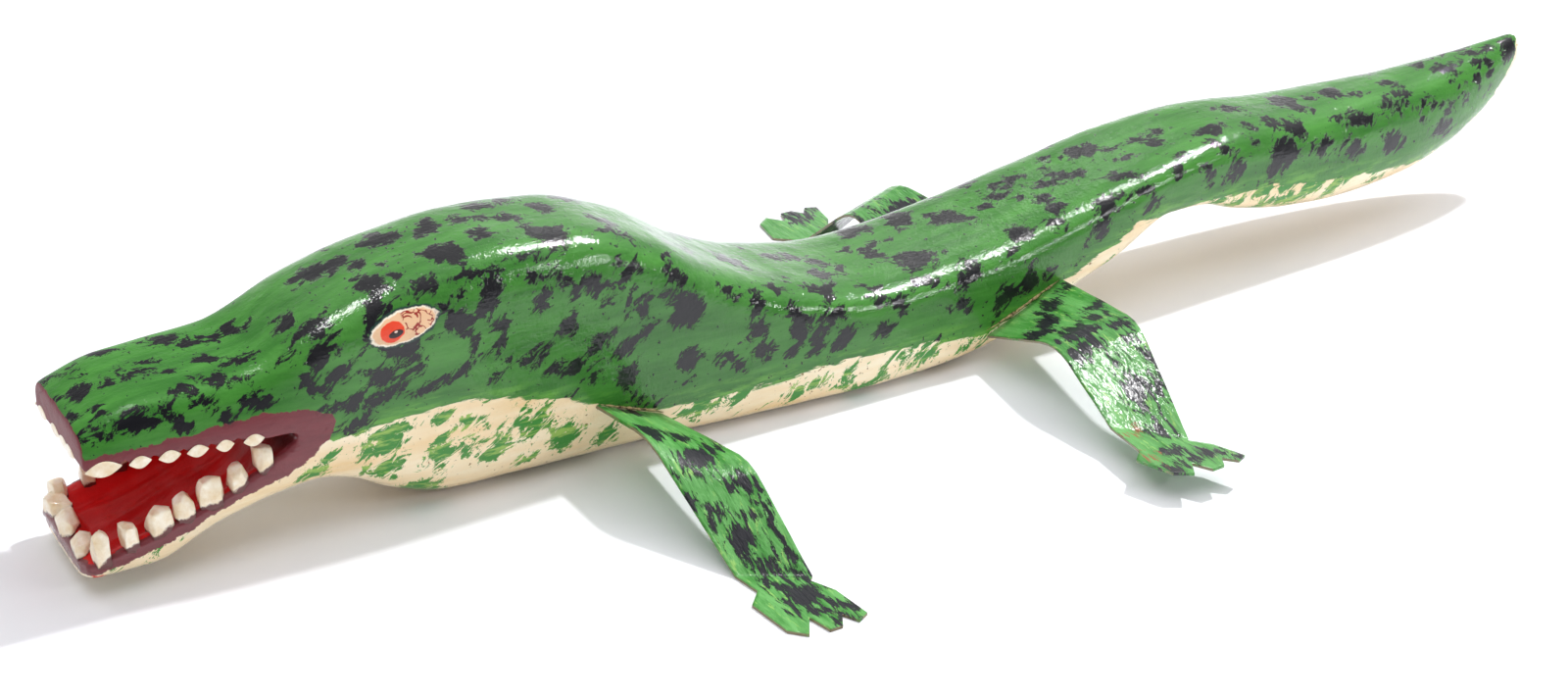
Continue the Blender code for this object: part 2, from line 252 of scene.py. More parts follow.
def loft(bm, sections):
    rings = [[bm.verts.new(point) for point in section] for section in sections]
    count = len(rings[0])
    for one, two in zip(rings, rings[1:]):
        for i in range(count):
            bm.faces.new((one[i], one[(i + 1) % count], two[(i + 1) % count], two[i]))
    bm.faces.new(rings[0])
    bm.faces.new(rings[-1])
    bmesh.ops.recalc_face_normals(bm, faces=bm.faces)


def meshFrom(name, bm):
    mesh = bpy.data.meshes.new(name)
    bm.to_mesh(mesh)
    bm.free()
    return mesh


def carvedMesh():
    # the blank: smooth sections from snout to tail
    radius, rings = body["noseRadius"], body["noseRings"]
    nose = [radius * (1 - math.cos(math.pi / 2 * i / rings)) for i in range(rings)]
    run = body["length"] - radius
    steps = int(run / body["ringStep"])
    places = nose + [radius + run * i / steps for i in range(steps + 1)]
    bm = bmesh.new()
    loft(bm, [bodySection(tip + place) for place in places])
    blank = newObject("blank", meshFrom("blank", bm))

    # the mouth: one wedge sawn right across, the upper jaw a little shorter
    before, upperTip = tip - mouth["setback"], tip + mouth["setback"]
    steps, half = mouth["lipSteps"], mouth["sawHalf"]
    sawn = [before + (corner - before) * i / steps for i in range(steps + 1)]
    outline = [(y, lowerLip(y)) for y in sawn]
    outline += [(corner, upperLip(corner)), (upperTip, upperLip(upperTip))]
    outline += [(upperTip, body["height"]), (before, body["height"])]
    bm = bmesh.new()
    loft(bm, [[Vector((x, y, z)) * mm for y, z in outline] for x in (-half, half)])
    wedge = newObject("wedge", meshFrom("wedge", bm))
    saw = blank.modifiers.new("saw", "BOOLEAN")
    saw.operation = "DIFFERENCE"
    saw.object = wedge
    saw.solver = "EXACT"
    remesh = blank.modifiers.new("remesh", "REMESH")
    remesh.mode = "VOXEL"
    remesh.voxel_size = body["voxel"] * mm
    graph = bpy.context.evaluated_depsgraph_get()
    mesh = bpy.data.meshes.new_from_object(blank.evaluated_get(graph))
    mesh.name = "carvedBody"
    bpy.data.objects.remove(wedge)
    bpy.data.objects.remove(blank)
    return mesh


def readPoints(mesh):
    points = np.empty(len(mesh.vertices) * 3, np.float32)
    mesh.vertices.foreach_get("co", points)
    return points.reshape(-1, 3).astype(float) / mm


def writePoints(mesh, points):
    mesh.vertices.foreach_set("co", (points * mm).astype(np.float32).ravel())
    mesh.update()


def readNormals(mesh):
    normals = np.empty(len(mesh.vertices) * 3, np.float32)
    mesh.vertex_normals.foreach_get("vector", normals)
    return normals.reshape(-1, 3).astype(float)


def relax(mesh, points, rounds, weight=0.5):
    # each vertex moves part of the way to the middle of its neighbours
    edges = np.empty(len(mesh.edges) * 2, np.int32)
    mesh.edges.foreach_get("vertices", edges)
    a, b = edges.reshape(-1, 2).T
    count = np.bincount(a, minlength=len(points)) + np.bincount(b, minlength=len(points))
    for _ in range(rounds):
        total = np.zeros_like(points)
        for axis in range(3):
            total[:, axis] = np.bincount(a, points[b, axis], len(points))
            total[:, axis] += np.bincount(b, points[a, axis], len(points))
        points = points + (total / count[:, None] - points) * weight
    return points


def wave(points, length, seed):
    # smooth noise between -1 and 1 at every point
    shift = Vector((seed * 7.3, seed * 3.1, seed * 5.7))
    return np.array([noise.noise(Vector(p) / length + shift) for p in points])


def ease(x, low, high):
    t = np.clip((x - low) / (high - low), 0, 1)
    return t * t * (3 - 2 * t)


def store(mesh, name, values):
    layer = mesh.attributes.new(name, "FLOAT", "POINT")
    layer.data.foreach_set("value", values.astype(np.float32))


# Paint lines on the side, as (along the body, up) in mm
paint = {
    "greenEdge": [
        (-372, 50), (-276, 50), (-271, 45), (-257, 47), (-247, 47), (-230, 49), (-214, 48), (-193, 44),
        (-177, 39), (-165, 34), (-156, 30), (-140, 24), (-127, 19), (-70, 19), (-46, 20), (-2, 19),
        (16, 17), (31, 15), (73, 31), (82, 32), (96, 38), (116, 48), (134, 48), (167, 47), (199, 46),
        (219, 43), (241, 39), (257, 38), (294, 33), (321, 37), (347, 49), (364, 64), (372, 80),
    ],
    "lipTop": [(-372, 63), (-345, 62), (-320, 63), (-298, 64), (-280, 61), (-271, 57), (-266, 50)],
    "lipBottom": [
        (-372, 10), (-361, 13), (-337, 19), (-308, 30), (-288, 35), (-279, 41), (-272, 47), (-268, 55),
    ],
    "lipRim": 3.5,  # how far the maroon goes in over the rim before the red starts
    "lipEnd": -262, "noGreen": (-274, 50),  # behind this no lip; ahead of and below that no green
    "frontFace": {"deep": 14, "above": 40, "facing": 0.75, "perFacing": 12, "wear": 0.85},
    "snout": {"along": (-300, -255), "up": (52, 66), "wear": 0.8},  # where its varnish has worn
    "cavityMargin": 8, "outside": -10,
}

eye = {
    "y": -238.5, "z": 86.5, "tilt": math.radians(10.5), "long": 14, "high": 6.2, "fromMiddle": 20,
    "outside": 40,
}

# Black dabs as they were brushed on: where each sits in the photo's frame (across, down), its
# length, its width and its turn in degrees. They are laid on the wood from the camera's place.
blackDabs = [
    (40, 394, 24, 7, 10), (52, 384, 28, 8, 35), (57, 407, 10, 6, 0), (79, 427, 18, 9, -45),
    (82, 399, 26, 20, 30), (96, 444, 28, 13, 15), (99, 419, 16, 8, -30), (105, 359, 24, 8, -10),
    (107, 390, 24, 8, 10), (136, 380, 30, 13, -10), (130, 420, 12, 9, 0), (140, 432, 46, 17, 0),
    (150, 370, 26, 6, 30), (165, 347, 40, 12, -5), (192, 351, 24, 11, 40), (184, 434, 20, 15, -30),
    (165, 415, 18, 6, 30), (172, 379, 11, 6, 0), (185, 397, 20, 9, -15), (209, 411, 15, 8, 0),
    (212, 366, 30, 6, 5), (230, 424, 17, 10, -50), (232, 386, 46, 14, 0), (235, 336, 28, 14, -10),
    (242, 367, 22, 8, 10), (262, 409, 24, 17, 10), (291, 330, 26, 20, 10), (307, 340, 44, 12, 60),
    (318, 279, 50, 20, 42), (342, 266, 22, 10, 30), (325, 366, 34, 20, 30), (311, 385, 9, 8, 0),
    (331, 337, 20, 12, 20), (320, 397, 26, 13, -30), (350, 380, 36, 12, 0), (355, 436, 20, 11, 0),
    (376, 430, 15, 6, 10), (365, 270, 18, 11, 0), (387, 273, 9, 7, 0), (377, 289, 36, 22, -25),
    (375, 407, 62, 14, 3), (387, 385, 26, 22, 60), (379, 327, 50, 13, 80), (392, 315, 26, 7, 40),
    (385, 244, 46, 20, 30), (405, 281, 15, 6, -25), (400, 355, 36, 16, -20), (422, 360, 30, 18, -70),
    (439, 347, 12, 6, 50), (416, 378, 30, 12, 80), (436, 230, 26, 21, 15), (462, 224, 23, 8, -5),
    (487, 210, 28, 9, 0), (490, 221, 14, 6, 0), (490, 237, 22, 13, -20), (514, 205, 20, 7, -5),
    (517, 221, 28, 8, 0), (452, 257, 50, 22, -5), (431, 290, 30, 18, 20), (462, 285, 17, 7, 10),
    (552, 212, 34, 9, -3), (575, 202, 36, 9, -15), (540, 233, 23, 8, -5), (562, 239, 36, 25, -30),
    (615, 225, 32, 9, -40), (632, 236, 27, 11, -55), (530, 262, 18, 10, 15), (554, 267, 18, 9, -50),
    (542, 280, 18, 12, 0), (495, 280, 21, 9, 10), (500, 298, 44, 20, 80), (467, 302, 24, 9, 80),
    (468, 332, 42, 24, -40), (484, 348, 34, 11, -65), (505, 330, 14, 9, 0), (511, 351, 46, 8, 85),
    (551, 310, 25, 12, 70), (589, 301, 14, 7, 60), (582, 287, 24, 14, -30), (607, 292, 30, 22, -35),
    (621, 290, 13, 8, 0), (642, 280, 24, 14, 40), (630, 266, 17, 8, 70), (580, 334, 21, 17, 45),
    (640, 307, 17, 7, 90), (657, 316, 26, 19, 30), (681, 301, 15, 6, 25), (700, 316, 42, 30, 45),
    (690, 281, 26, 13, -35), (640, 355, 28, 15, 35), (657, 341, 30, 6, 35), (612, 352, 30, 11, 35),
    (567, 377, 13, 10, 0), (586, 376, 22, 12, 0), (545, 364, 26, 12, 15), (522, 367, 11, 6, 0),
    (605, 381, 17, 7, 40), (640, 387, 32, 22, -60), (650, 405, 18, 13, -40), (625, 387, 11, 7, 0),
    (702, 366, 27, 17, 30), (455, 385, 88, 7, 14), (747, 367, 26, 16, -30), (778, 358, 28, 22, -20),
    (744, 297, 18, 12, 0), (773, 311, 26, 16, -60), (775, 335, 24, 11, 75), (791, 293, 20, 11, 10),
    (808, 359, 16, 9, 35), (817, 331, 42, 22, -55), (824, 326, 20, 14, 0), (833, 346, 26, 16, 40),
    (855, 322, 26, 14, 20), (862, 344, 26, 15, 55), (905, 332, 26, 14, 45), (897, 307, 18, 8, -60),
    (922, 313, 18, 12, 45), (745, 266, 42, 10, -15), (785, 261, 18, 8, -10), (806, 262, 20, 7, -10),
    (833, 267, 17, 13, -40), (838, 280, 24, 16, 20), (857, 275, 13, 8, 0), (845, 295, 20, 15, 70),
    (830, 294, 16, 8, 0), (866, 236, 26, 14, 15), (883, 234, 9, 6, 0), (862, 253, 14, 7, 5),
    (888, 258, 34, 14, -60), (893, 248, 14, 8, 50), (916, 224, 30, 21, 5), (934, 265, 44, 22, 10),
    (947, 287, 30, 15, 15), (886, 294, 14, 8, 15), (966, 222, 42, 17, -15), (992, 224, 12, 9, 0),
    (989, 281, 30, 18, 60), (983, 311, 16, 12, 60), (969, 316, 9, 7, 40), (1020, 200, 26, 12, -20),
    (1042, 200, 7, 6, 0), (1007, 210, 26, 6, 5), (1039, 236, 24, 17, 0), (1033, 255, 16, 8, 70),
    (1027, 300, 44, 17, 65), (1052, 285, 28, 17, 70), (1068, 278, 14, 6, 10), (990, 283, 20, 14, 30),
    (1025, 191, 16, 7, 0), (1034, 181, 22, 9, -10), (1062, 173, 9, 7, 0), (1017, 189, 14, 8, 0),
    (1070, 186, 36, 12, -10), (1086, 180, 30, 11, -20), (1101, 177, 13, 11, 0), (1102, 154, 32, 14, 5),
    (1066, 203, 20, 12, 0), (1077, 212, 22, 13, 5), (1076, 227, 19, 12, 0), (1064, 163, 14, 6, 0),
    (1149, 161, 22, 10, 0), (1146, 178, 34, 10, -10), (1130, 205, 20, 14, 30), (1134, 214, 19, 9, 0),
    (1150, 199, 20, 9, 15), (1168, 197, 24, 10, 10), (1122, 235, 44, 12, 50), (1174, 211, 20, 10, 20),
    (1135, 152, 18, 6, 0), (1160, 143, 24, 9, 60), (1180, 146, 20, 11, -20), (1184, 133, 17, 9, -20),
    (1203, 172, 13, 10, 20), (1204, 160, 16, 6, -20), (1237, 178, 15, 13, 20), (1264, 172, 18, 9, 55),
    (1258, 182, 14, 9, 20), (1234, 134, 26, 10, -10), (1251, 150, 20, 9, -10), (1240, 145, 22, 6, 0),
    (1277, 129, 16, 8, -20), (1253, 111, 20, 9, -40), (1240, 130, 17, 11, 0), (1277, 141, 15, 7, -20),
    (1307, 103, 30, 15, -10), (1324, 110, 24, 7, -10), (1299, 124, 22, 11, 0), (1320, 129, 30, 16, -15),
    (1311, 156, 30, 28, 0), (1302, 171, 30, 16, 45), (1350, 152, 28, 18, 0), (1381, 151, 22, 19, 0),
    (1422, 143, 24, 20, 30), (1472, 130, 24, 21, 0), (1478, 114, 16, 9, 50), (1357, 94, 24, 13, -10),
    (1383, 96, 17, 8, 15), (1381, 121, 36, 14, 12), (1415, 109, 20, 11, 60), (1432, 98, 24, 14, 75),
    (1416, 85, 16, 9, -10), (1463, 107, 16, 8, 0), (1474, 70, 26, 11, 15), (1448, 66, 22, 7, 10),
    (1508, 63, 26, 9, 8), (1484, 84, 14, 6, -10), (1500, 53, 24, 8, 10), (1540, 50, 24, 16, 70),
    (1520, 50, 20, 7, 10), (1520, 76, 16, 8, 60), (1494, 100, 12, 8, 60), (1510, 88, 16, 8, -50),
    (1450, 117, 16, 7, -40), (1334, 101, 12, 8, 0),
]
greenDabs = [
    (336, 467, 14, 8, 10), (322, 482, 26, 9, 25), (372, 440, 16, 10, 0), (390, 455, 46, 14, 15),
    (400, 440, 30, 10, 0), (383, 447, 22, 8, 60), (395, 475, 34, 12, 20), (447, 463, 30, 14, 20),
    (454, 425, 14, 8, 0), (447, 477, 22, 9, 80), (478, 455, 26, 10, 15), (484, 428, 22, 8, 5),
    (503, 461, 26, 12, 15), (530, 414, 12, 5, 30), (535, 431, 36, 13, 5), (541, 443, 18, 8, 20),
    (577, 447, 34, 13, 50), (563, 440, 16, 8, -40), (618, 445, 24, 10, 50), (430, 497, 44, 12, 8),
    (470, 498, 40, 9, 8), (500, 488, 44, 8, 15), (536, 467, 14, 6, 0), (715, 415, 34, 14, 5),
    (757, 404, 30, 13, 70), (812, 402, 24, 11, 70), (832, 391, 18, 7, 20), (868, 380, 26, 10, 75),
    (880, 394, 40, 7, 8), (899, 380, 20, 8, 75), (918, 362, 16, 8, 50), (931, 356, 20, 9, 80),
    (948, 361, 26, 10, 20), (984, 354, 20, 5, 38), (1290, 208, 26, 8, 40), (1330, 196, 40, 12, 45),
    (1310, 204, 30, 8, 30), (1400, 181, 16, 6, 10), (1115, 283, 16, 6, 45), (1260, 208, 30, 6, 30),
    (1345, 188, 30, 8, 45), (1360, 192, 26, 8, 40), (1375, 180, 30, 10, 20), (1285, 196, 30, 8, 10),
    (1320, 186, 40, 8, 10), (1430, 165, 26, 5, 20), (1240, 207, 22, 5, 20),
]
legDabs = [
    (644, 420, 24, 7, -30), (666, 440, 32, 12, -35), (694, 446, 24, 8, -25), (709, 466, 42, 18, -25),
    (728, 457, 16, 12, 0), (712, 484, 20, 6, 0), (754, 491, 38, 16, -35), (706, 512, 10, 5, 0),
    (732, 520, 44, 9, -15), (760, 525, 22, 5, 0), (728, 534, 20, 10, 80), (757, 552, 36, 24, -60),
    (776, 580, 32, 10, -75), (792, 570, 26, 15, -70), (796, 546, 24, 4, -62), (810, 568, 18, 9, -40),
    (812, 586, 26, 12, -30), (800, 598, 32, 10, -10), (820, 608, 38, 22, -15), (866, 616, 40, 14, -30),
    (830, 622, 32, 7, 0), (856, 632, 12, 12, 0), (838, 600, 14, 6, 0), (874, 630, 20, 6, -25),
    (774, 512, 12, 6, 0), (1070, 311, 20, 12, 30), (1088, 294, 16, 10, 10), (1070, 328, 28, 14, 10),
    (1100, 338, 40, 14, 20), (1112, 326, 34, 7, 20), (1060, 340, 32, 8, 20), (1108, 354, 34, 20, 30),
    (1098, 364, 20, 12, 20), (1148, 330, 16, 10, -30), (1154, 342, 12, 10, 0), (1118, 312, 24, 5, 20),
    (1160, 398, 34, 28, -60), (1150, 382, 26, 10, -60), (1186, 394, 28, 12, -65),
    (1172, 418, 24, 10, -50), (1182, 440, 24, 14, -20), (1200, 414, 24, 10, -65),
    (1200, 460, 24, 9, 0), (1202, 478, 28, 9, -10),
    (1240, 462, 44, 7, -10), (1256, 464, 26, 6, -20), (1172, 360, 22, 8, -60), (1216, 468, 22, 5, 5),
]
rustDabs = [(1146, 448, 9, 4, -30), (1165, 459, 8, 5, -40), (1168, 472, 12, 3, -25)]

# Teeth as they are seen: the near side's lower ones as (across, down, wide, high), the front ones'
# widths, the upper ones on the near side as (from, to, down)
teethSeen = {
    "lowerSide": [
        (103, 565, 26, 34), (133, 551, 27, 28), (162, 531, 34, 28), (187, 515, 30, 28),
        (214, 503, 34, 31), (242, 484, 30, 26), (268, 470, 27, 26),
    ],
    "lowerFront": [24, 27, 23],
    "upperSide": [
        (85, 126, 479), (131, 156, 472), (161, 186, 465), (190, 214, 458), (220, 240, 454),
        (248, 271, 449),
    ],
    "upperFront": [(43, 425), (56, 443), (71, 464)],
}

print("carving the body")
carved = carvedMesh()
points = relax(carved, readPoints(carved), body["smoothing"])
x, y, z = points.T
stations = np.arange(tip, -tip + 1, body["ringStep"])
wide = np.interp(y, stations, [halfWidth(v) for v in stations])
writePoints(carved, points)
normals = readNormals(carved)

# Which point of the wood each pixel of the photo's frame falls on
camera = {
    "place": (0.92438, -0.58864, 0.56808), "azimuth": 59.697, "elevation": 27.471,
    "focalPixels": 2800, "across": 1600, "down": 713,
}
turned, raised = math.radians(camera["azimuth"]), math.radians(camera["elevation"])
lookAlong = Vector((
    -math.sin(turned) * math.cos(raised), math.cos(turned) * math.cos(raised), -math.sin(raised)
))
lookRight = Vector((math.cos(turned), math.sin(turned), 0))
lookUp = lookRight.cross(lookAlong)


def pixelRay(px, py):
    across = (px - camera["across"] / 2) / camera["focalPixels"]
    down = (py - camera["down"] / 2) / camera["focalPixels"]
    return (lookAlong + lookRight * across - lookUp * down).normalized()


def sideSpot(px, py, inset=0):
    # where a pixel's ray meets the near side, this far inside it, as (along, up) in mm
    ray = pixelRay(px, py)
    spot = Vector((0, tip + 60, 0))
    for _ in range(4):
        reach = (halfWidth(spot.y) - inset) - camera["place"][0] / mm
        spot = Vector(camera["place"]) / mm + ray * (reach / ray.x)
    return spot.y, spot.z


def frontSpot(px, py, inset):
    # the same on the front face, as (across, up)
    ray = pixelRay(px, py)
    reach = tip + inset - camera["place"][1] / mm
    spot = Vector(camera["place"]) / mm + ray * (reach / ray.y)
    return spot.x, spot.z


# A dab's field in mm: its value far from any dab, how far around a dab it is worked out, how deep
# it goes into the wood, the most that foreshortening counts, and how a mirrored dab may slide
dabLaying = {
    "outside": -6.0, "margin": 8, "reach": 14, "flattest": 0.35, "onSide": 0.35, "slide": (14, 3),
}


def dabField(mesh, points, dabs, seed, mirrored=True):
    # how deep each point lies inside the nearest dab, in mm; the near side's dabs are repeated on
    # the far side, moved along a little
    rng = random.Random(seed)
    tree = BVHTree.FromPolygons([v.co for v in mesh.vertices], [p.vertices for p in mesh.polygons])
    field = np.full(len(points), dabLaying["outside"])
    slideAlong, slideUp = dabLaying["slide"]
    for px, py, length, width, turn in dabs:
        hit, normal, _, distance = tree.ray_cast(Vector(camera["place"]), pixelRay(px, py))
        if hit is None:
            continue
        perPixel = distance / mm / camera["focalPixels"]
        angle = math.radians(turn)
        longWay = lookRight * math.cos(angle) + lookUp * math.sin(angle)
        crossWay = lookUp * math.cos(angle) - lookRight * math.sin(angle)
        # laid flat on the wood; a foreshortened dab is longer there than it looks
        longWay -= normal * longWay.dot(normal)
        crossWay -= normal * crossWay.dot(normal)
        halfLong = length * perPixel / 2 / max(dabLaying["flattest"], longWay.length)
        halfWide = width * perPixel / 2 / max(dabLaying["flattest"], crossWay.length)
        lengthwise = longWay.normalized()
        sideways = normal.cross(lengthwise).normalized()
        copies = [(Vector((1, 1, 1)), Vector((0, 0, 0)))]
        if mirrored and normal.x > dabLaying["onSide"]:
            slide = (0, rng.uniform(-slideAlong, slideAlong), rng.uniform(-slideUp, slideUp))
            copies.append((Vector((-1, 1, 1)), Vector(slide)))
        for flip, shift in copies:
            offset = points - np.array(hit * flip) / mm - np.array(shift)
            within = max(halfLong, halfWide) + dabLaying["margin"]
            near = np.flatnonzero(np.abs(offset).max(1) < within)
            ways = ((lengthwise, halfLong), (sideways, halfWide), (normal, dabLaying["reach"]))
            parts = [offset[near] @ np.array(way * flip) / size for way, size in ways]
            depth = (1 - np.sqrt(sum(part**2 for part in parts))) * min(halfLong, halfWide)
            field[near] = np.maximum(field[near], depth)
    return field


# the gouged troughs inside both jaws, with ridges left by the gouge
slack, level = mouth["slack"], mouth["level"]
fromRim = np.minimum(wide - np.abs(x), y - tip)
inMouth = (y < corner - 1) & (z > lowerLip(y) - slack) & (z < upperLip(y) + slack)
floorOfMouth = inMouth & (normals[:, 2] > level) & (z < (lowerLip(y) + upperLip(y)) / 2)
roofOfMouth = inMouth & (normals[:, 2] < -level) & ~floorOfMouth
trough = ease(fromRim, *(mouth["rim"] + fade for fade in mouth["rimFade"]))
trough *= 1 - ease(y, tip + mouth["hollowLength"], corner - mouth["cornerFade"])
ridges = np.abs(np.sin((x + 5 * wave(points, 26, 3)) * math.pi / mouth["gougeWidth"]))
ridges = (1.6 * ridges + 1.2 * wave(points * [1, 0.3, 1], 7, 4)) * mouth["gougeDepth"] * trough
points[floorOfMouth, 2] -= (mouth["tongueDepth"] * trough + ridges)[floorOfMouth]
points[roofOfMouth, 2] += (mouth["palateDepth"] * trough + ridges)[roofOfMouth]

# small pointed notches in the upper lip, one between every two painted teeth
ends = [(sideSpot(a, down)[0], sideSpot(b, down)[0]) for a, b, down in teethSeen["upperSide"]]
notches = [(one[1] + two[0]) / 2 for one, two in zip(ends, ends[1:])]
aboveLip, onRim = np.abs(z - upperLip(y)), np.abs(x) > wide - mouth["rim"]
onLip = (aboveLip < mouth["notchDepth"]) & onRim & (y > tip) & (y < corner)
for notch in notches:
    rise = mouth["notchDepth"] * np.clip(1 - np.abs(y - notch) / mouth["notchHalf"], 0, 1)
    points[:, 2] += np.where(onLip, rise * (1 - aboveLip / mouth["notchDepth"]), 0)

# sanded wood is never quite true
uneven = body["unevenness"] * (wave(points, body["unevenLength"], 1) + 0.5 * wave(points, 14, 2) - 0.6)
points += normals * (uneven * (~inMouth))[:, None]
points[:, 2] = np.maximum(points[:, 2], 0)
writePoints(carved, points)
carved.shade_smooth()
print("body triangles", sum(len(p.vertices) - 2 for p in carved.polygons))

# fields that the paint follows, in mm
x, y, z = points.T
normals = readNormals(carved)
side = np.abs(x)
bare = (y < paint["noGreen"][0]) & (z < paint["noGreen"][1])
store(carved, "greenAbove", np.where(bare, -6, z - along(paint["greenEdge"], y)))
lip = np.minimum(along(paint["lipTop"], y) - z, z - along(paint["lipBottom"], y))
lip = np.where(y < paint["lipEnd"], lip, paint["outside"])
front, snout = paint["frontFace"], paint["snout"]
atFront = (y < tip + front["deep"]) & (z > front["above"])
frontFace = (-normals[:, 1] - front["facing"]) * front["perFacing"]
frontFace = np.where(atFront, frontFace, paint["outside"])
store(carved, "lipInside", np.maximum(lip, frontFace))
worn = snout["wear"] * ((1 - ease(y, *snout["along"])) * ease(z, *snout["up"]))
store(carved, "varnish", 1 - np.where(frontFace > 0, front["wear"], worn))
margin = paint["cavityMargin"]
inCavity = (y < corner) & (z > lowerLip(y) - margin) & (z < upperLip(y) + margin)
inCavity &= (side < wide - 1) & (frontFace < 0)
fromEdge = np.minimum(wide - side, y - tip) - paint["lipRim"]
store(carved, "redInside", np.where(inCavity, fromEdge, -5))

# the back beyond the ridge, where neither the seen nor the mirrored dabs fall, has patches from noise
patches = {
    "turnedAway": -0.17, "facing": -0.5, "stretch": (1, 0.8, 1), "length": 12, "depth": 9,
    "inset": 1.6,
}
beyond = (normals @ np.array(lookAlong) > patches["turnedAway"]) & (normals[:, 2] > 0)
beyond &= normals[:, 0] > patches["facing"]
noisy = patches["depth"] * wave(points * patches["stretch"], patches["length"], 21) - patches["inset"]
dabs = dabField(carved, points, blackDabs, 3)
store(carved, "blackDab", np.where(beyond, np.maximum(dabs, noisy), dabs))
store(carved, "greenDab", dabField(carved, points, greenDabs, 4))
du, dv = y - eye["y"], z - eye["z"]
cosTilt, sinTilt = math.cos(eye["tilt"]), math.sin(eye["tilt"])
store(carved, "eyeAlong", du * cosTilt + dv * sinTilt)
eyeUp = np.where(side > eye["fromMiddle"], dv * cosTilt - du * sinTilt, eye["outside"])
store(carved, "eyeUp", eyeUp)


# House paint put on thick by brush and varnished: soft streaks along the stroke, ragged dabs where
# the brush ran dry, and a wet-looking coat that is worn from the snout and thin inside the mouth.
def brushPaint():
    material, tree, shader, inMm = newPaint("glossBrushPaintOnWood")
    streaked = add(tree, "VectorMath", {0: inMm, 1: (1, 0.16, 1)}, operation="MULTIPLY")
    slant = {"Vector": inMm, "Angle": math.radians(-38)}
    slanted = add(tree, "VectorRotate", slant, rotation_type="X_AXIS")
    slanted = add(tree, "VectorMath", {0: slanted, 1: (1, 0.5, 1.2)}, operation="MULTIPLY")
    above = add(tree, "Attribute", attribute_name="greenAbove", out="Fac")
    back = add(tree, "SeparateXYZ", {"Vector": inMm}, out="Y")
    u = add(tree, "Attribute", attribute_name="eyeAlong", out="Fac")
    v = add(tree, "Attribute", attribute_name="eyeUp", out="Fac")
    flat = add(tree, "CombineXYZ", {"X": u, "Y": v})

    # what each noise follows, one over its size in mm, its detail, roughness and distortion
    noises = addRows(tree, "TexNoise", noiseKeys, {
        "streak": (streaked, 1 / 8, 5, 0.65),  # thick and thin paint along the stroke
        "thin": (streaked, 1 / 3, 4, 0.7),  # where the brush ran dry
        "tear": (slanted, 1 / 5.5, 8, 0.76, 0.6),  # the torn edges of the dabs
        "blot": (slanted, 1 / 17, 6, 0.62, 0.5),  # loose black dabs
        "blotGreen": (slanted, 1 / 11, 6, 0.7, 0.7),  # loose green dabs
        "speck": (inMm, 1 / 2.6, 3, 0.6),
        "warm": (streaked, 1 / 14, 5, 0.6),  # where the cream is thin
        "edge": (streaked, 1 / 4, 6, 0.62),  # the line between green and cream
        "lip": (inMm, 1 / 6, 5, 0.65),
        "vein": (flat, 1 / 5.5, 2, 0.5, 0.8),
        "ridge": (streaked, 1 / 1.5, 4, 0.55),  # brush marks
        "peel": (inMm, 1 / 1.5, 2),  # fine orange peel
        "lump": (inMm, 1 / 9, 2),  # thick and thin coats
        "pit": (inMm, 1 / 0.7, 1),
    })
    # how far each torn or wandering edge strays, in mm
    strays = addRows(tree, "MapRange", rangeKeys, {
        "dab": (noises["tear"], 0.2, 0.8, -8.5, 8.5),
        "edge": (noises["edge"], 0.25, 0.75, -2.8, 2.8),
        "lip": (noises["lip"], 0.2, 0.8, -2, 2),
    })
    # where each mask starts and where it is full
    masks = addRows(tree, "MapRange", rangeKeys, {
        "low": (above, 9, 0),
        "dry": (noises["thin"], 0.47, 0.62),
        "loose": (noises["blot"], 0.65, 0.66),
        "fleck": (noises["speck"], 0.665, 0.68),
        "grime": (noises["speck"], 0.33, 0.30),
        "looseGreen": (noises["blotGreen"], 0.61, 0.62),
        "driedOut": (noises["thin"], 0.50, 0.60),
        # painted shade: how far the red darkens towards the corner of the mouth
        "deep": (back, corner - 24, corner - 6, 0, 0.85),
        "behind": (u, 0, 1),
    })

    # green: thick and thin along the stroke, with yellower streaks low on the side
    green = add(
        tree, "ValToRGB", {"Fac": noises["streak"]}, stops=((0.34, "#2c6c1f"), (0.68, "#468a33"))
    )
    dry = add(tree, "Math", {0: masks["dry"], 1: masks["low"]}, operation="MULTIPLY")
    green = add(tree, "Mix", {"Factor": dry, "A": green, "B": srgb("#63a43a")}, **asColour)

    # black dabs about 20 mm long with torn edges, and specks of 2 mm
    placed = tornMask(tree, "blackDab", strays["dab"], -0.1, 0.1)
    dab = add(tree, "Math", {0: placed, 1: masks["loose"]}, operation="MAXIMUM")
    black = add(tree, "Math", {0: dab, 1: masks["fleck"]}, operation="MAXIMUM")
    upper = add(tree, "Mix", {"Factor": black, "A": green, "B": srgb("#08080f")}, **asColour)

    # cream belly, ochre where it is thin, with torn green dabs that dry out to yellow-green
    cream = add(
        tree, "ValToRGB", {"Fac": noises["warm"]}, stops=((0.36, "#fdf0d2"), (0.70, "#edcb92"))
    )
    cream = add(tree, "Mix", {"Factor": masks["grime"], "A": cream, "B": srgb("#8d6a3a")}, **asColour)
    placed = tornMask(tree, "greenDab", strays["dab"], -0.5, -0.2)
    greenDab = add(tree, "Math", {0: placed, 1: masks["looseGreen"]}, operation="MAXIMUM")
    twoGreens = {"Factor": masks["driedOut"], "A": srgb("#2f8526"), "B": srgb("#8fb650")}
    dabGreen = add(tree, "Mix", twoGreens, **asColour)
    lower = add(tree, "Mix", {"Factor": greenDab, "A": cream, "B": dabGreen}, **asColour)

    # the line between green and cream wanders slowly, with a brushed edge
    isGreen = tornMask(tree, "greenAbove", strays["edge"], -0.3, 0.3)
    colour = add(tree, "Mix", {"Factor": isGreen, "A": lower, "B": upper}, **asColour)
